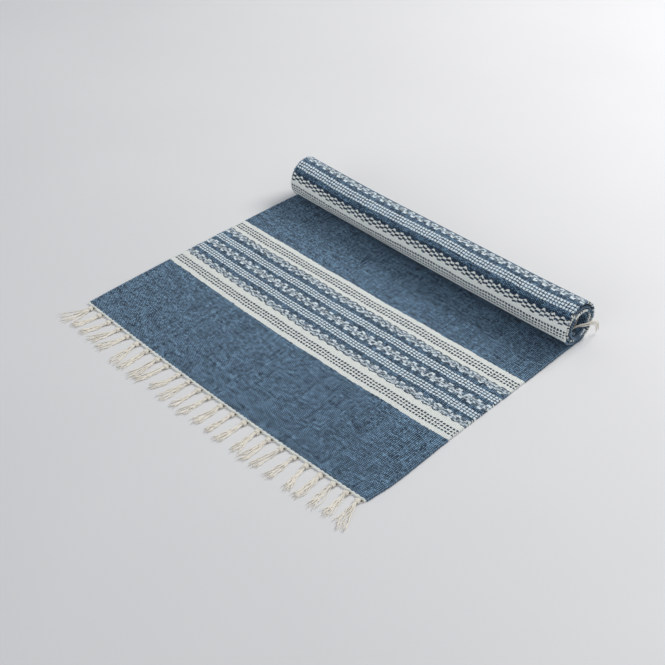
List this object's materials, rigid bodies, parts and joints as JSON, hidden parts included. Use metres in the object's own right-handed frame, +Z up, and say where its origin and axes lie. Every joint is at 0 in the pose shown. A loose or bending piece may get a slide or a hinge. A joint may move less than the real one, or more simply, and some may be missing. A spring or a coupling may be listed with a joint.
{
  "type": "cotton rug",
  "caption": "Handwoven cotton rug, flat at one end and rolled up at the other, with a knotted fringe on the floor and a second fringe wound into the roll.",
  "frame": {"origin": "on the floor, under the middle of the rug as it lies, half flat and half rolled", "axes": "+Z up, X across the rug's width, +Y from the fringed near edge towards the roll"},
  "size_m": [0.727, 0.6882, 0.0935],
  "materials": {
    "cloth": "matte",
    "yarn": "matte"
  },
  "bodies": {
    "root": {"rug_cloth": "cloth", "fringe_near": "yarn", "fringe_far": "yarn"}
  },
  "joints": []
}
